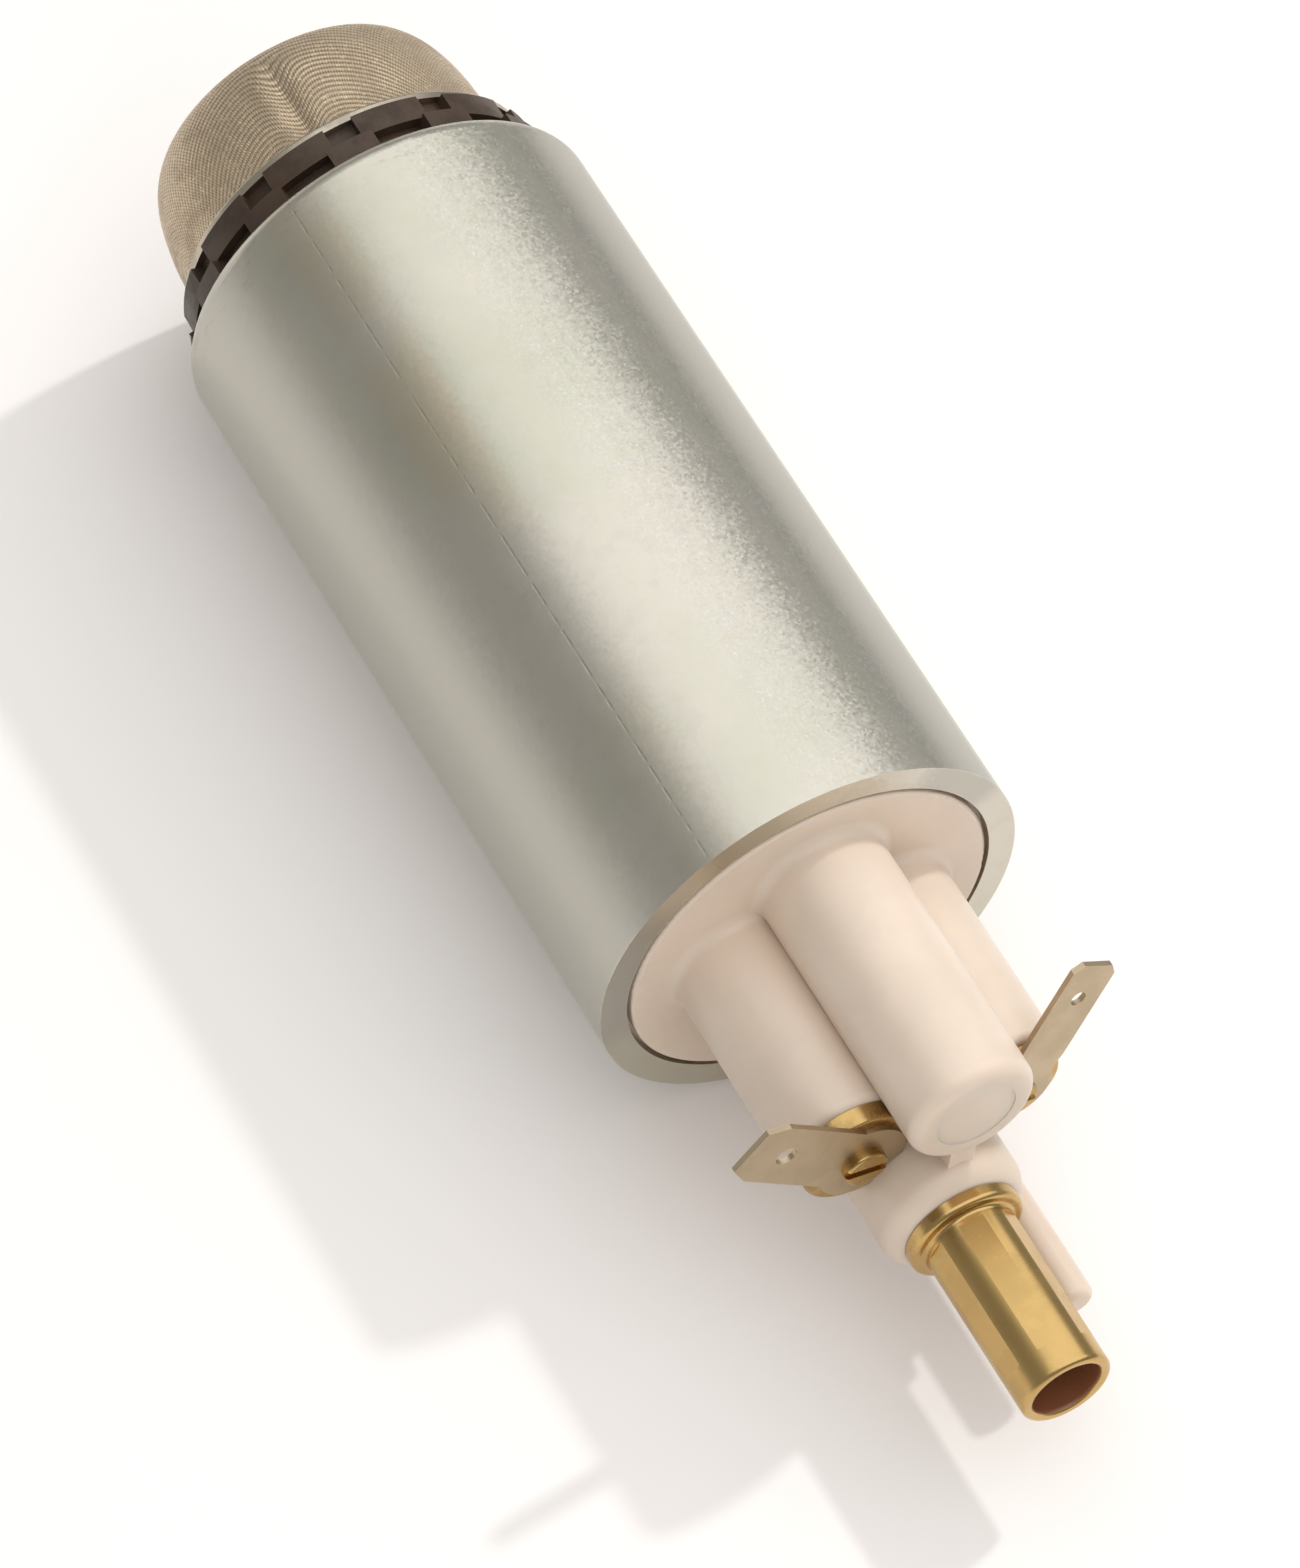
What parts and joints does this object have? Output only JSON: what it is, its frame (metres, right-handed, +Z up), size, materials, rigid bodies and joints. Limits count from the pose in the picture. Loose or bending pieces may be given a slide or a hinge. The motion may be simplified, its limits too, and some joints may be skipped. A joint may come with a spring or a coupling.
{
  "type": "fuel lift pump",
  "caption": "In-tank electric fuel lift pump: rolled steel casing, moulded outlet cap with brass nipple and two blade terminals, castellated inlet with wire strainer.",
  "frame": {"origin": "on the ground plane under the middle of the pump's length, below the casing's axis", "axes": "+X along the pump's axis towards the outlet nipple; +Z up, from the outlet tower to the relief valve tower; the pump lies on its casing"},
  "size_m": [0.1362, 0.0384, 0.038],
  "materials": {
    "zinc_steel": "zinc-plated steel with a fine grain and a warm sheen",
    "cap_moulding": "ivory acetal, slightly translucent, satin",
    "seal_rubber": "black nitrile rubber",
    "brass": "bright turned brass",
    "valve_plastic": "dark filled plastic",
    "spring_steel": "drawn spring wire",
    "ball_steel": "ground and polished steel",
    "brush_carbon": "pressed carbon, matt",
    "tinned_plate": "tinned brass sheet, dull and slightly tarnished",
    "bearing_bronze": "sintered bronze",
    "plain_steel": "plain rolled steel",
    "magnet_ceramic": "ground ceramic magnet",
    "winding_copper": "enamelled copper wire",
    "hub_moulding": "dark phenolic moulding",
    "segment_copper": "turned copper",
    "plate_aluminium": "machined aluminium",
    "rotor_iron": "sintered iron, ground faces",
    "black_moulding": "black-brown moulded plastic, satin",
    "mesh_wire": "woven wire cloth, warm grey",
    "bright_rim": "bright rolled metal rim"
  },
  "bodies": {
    "pump": {"casing": "zinc_steel", "outlet_end_cap": "cap_moulding", "cap_seal": "seal_rubber", "outlet_nipple": "brass", "check_valve_spring": "spring_steel", "relief_spring": "spring_steel", "relief_plug": "cap_moulding", "brush_spring_left": "spring_steel", "brush_spring_right": "spring_steel", "brush_cap_left": "brass", "brush_cap_right": "brass", "terminal_wide": "tinned_plate", "terminal_narrow": "tinned_plate", "terminal_screws": "brass", "upper_bearing": "bearing_bronze", "lower_bearing": "bearing_bronze", "flux_sleeve": "plain_steel", "magnet_upper": "magnet_ceramic", "magnet_lower": "magnet_ceramic", "magnet_clips": "spring_steel", "port_plate": "plate_aluminium", "rotor_housing": "plain_steel", "inlet_plate": "plate_aluminium", "inlet_body": "black_moulding", "strainer_mesh": "mesh_wire", "strainer_rim": "bright_rim"},
    "armature": {"armature_shaft": "ball_steel", "armature_core": "plain_steel", "armature_winding": "winding_copper", "commutator_hub": "hub_moulding", "commutator_segments": "segment_copper", "thrust_washer_upper": "valve_plastic", "thrust_washer_lower": "valve_plastic", "inner_rotor": "rotor_iron"},
    "outer_rotor": {"outer_rotor": "rotor_iron"},
    "check_valve": {"check_valve": "valve_plastic"},
    "relief_ball": {"relief_ball": "ball_steel"},
    "brush_left": {"brush_left": "brush_carbon"},
    "brush_right": {"brush_right": "brush_carbon"}
  },
  "joints": [
    {"name": "armature_spin", "type": "hinge", "parent": "pump", "child": "armature", "pos_m": [0, 0, 0.019], "axis": [1, 0, 0], "continuous": true},
    {"name": "outer_rotor_spin", "type": "hinge", "parent": "pump", "child": "outer_rotor", "pos_m": [-0.03875, 0, 0.01805], "axis": [1, 0, 0], "continuous": true},
    {"name": "check_valve_lift", "type": "slide", "parent": "pump", "child": "check_valve", "axis": [1, 0, 0], "range_m": [0, 0.0025], "stiffness_N_per_m": 40, "springref_m": -0.004, "deforming": ["check_valve_spring"]},
    {"name": "relief_valve_lift", "type": "slide", "parent": "pump", "child": "relief_ball", "axis": [1, 0, 0], "range_m": [0, 0.002], "stiffness_N_per_m": 1500, "springref_m": -0.004, "deforming": ["relief_spring"]},
    {"name": "brush_left_slide", "type": "slide", "parent": "pump", "child": "brush_left", "axis": [1, 0, 0], "range_m": [0, 0.003], "stiffness_N_per_m": 80, "springref_m": -0.01, "deforming": ["brush_spring_left"]},
    {"name": "brush_right_slide", "type": "slide", "parent": "pump", "child": "brush_right", "axis": [1, 0, 0], "range_m": [0, 0.003], "stiffness_N_per_m": 80, "springref_m": -0.01, "deforming": ["brush_spring_right"]}
  ],
  "couplings": [
    {"joint": "outer_rotor_spin", "follows": "armature_spin", "ratio": 0.85714}
  ]
}
